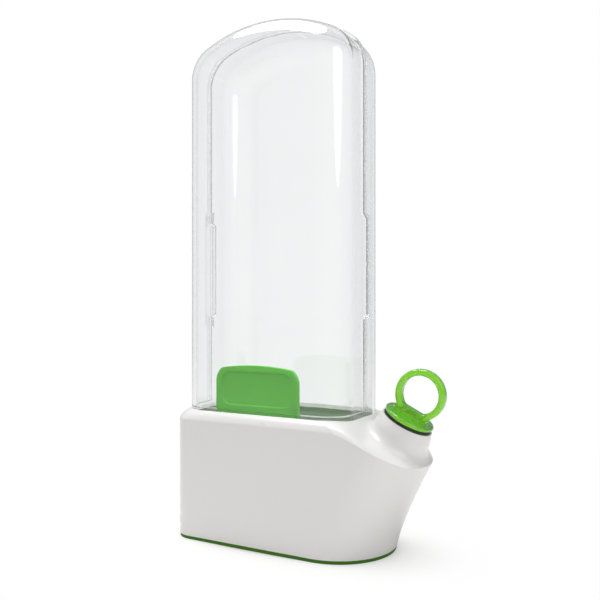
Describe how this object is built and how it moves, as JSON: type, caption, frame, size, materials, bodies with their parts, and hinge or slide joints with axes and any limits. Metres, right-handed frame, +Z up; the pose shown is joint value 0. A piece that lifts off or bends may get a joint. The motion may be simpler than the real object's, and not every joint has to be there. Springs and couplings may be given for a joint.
{
  "type": "herb keeper",
  "caption": "Counter-top herb keeper: a white water base with a leaning nose and stoppered spout holds a clear pod with a hinged front and a slotted green basket.",
  "frame": {"origin": "on the table under the middle of the pod, where the pod's two centre planes cross", "axes": "+Z up, +X to the spout, +Y to the back; the hinged door faces -Y"},
  "size_m": [0.1522, 0.0658, 0.29],
  "materials": {
    "white_plastic": "satin",
    "green_rubber": "matte",
    "clear_green_plastic": "polished",
    "black_rubber": "matte",
    "clear_plastic": "polished",
    "green_plastic": "satin"
  },
  "bodies": {
    "base": {"base_housing": "white_plastic", "reservoir_floor": "white_plastic", "foot_pad": "green_rubber"},
    "plug": {"stopper": "clear_green_plastic", "stopper_seal": "black_rubber"},
    "pod": {"pod_body": "clear_plastic"},
    "door": {"pod_door": "clear_plastic"},
    "basket": {"herb_basket": "green_plastic"}
  },
  "joints": [
    {"name": "stopper_pull", "type": "slide", "parent": "base", "child": "plug", "axis": [0.454, 0, 0.891], "range_m": [0, 0.03]},
    {"name": "pod_lift", "type": "slide", "parent": "base", "child": "pod", "axis": [0, 0, 1], "range_m": [0, 0.08]},
    {"name": "door_swing", "type": "hinge", "parent": "pod", "child": "door", "pos_m": [-0.0538, 0.0024, 0.152], "axis": [0, 0, -1], "range_deg": [0, 110]},
    {"name": "basket_lift", "type": "slide", "parent": "base", "child": "basket", "axis": [0, 0, 1], "range_m": [0, 0.1]}
  ]
}
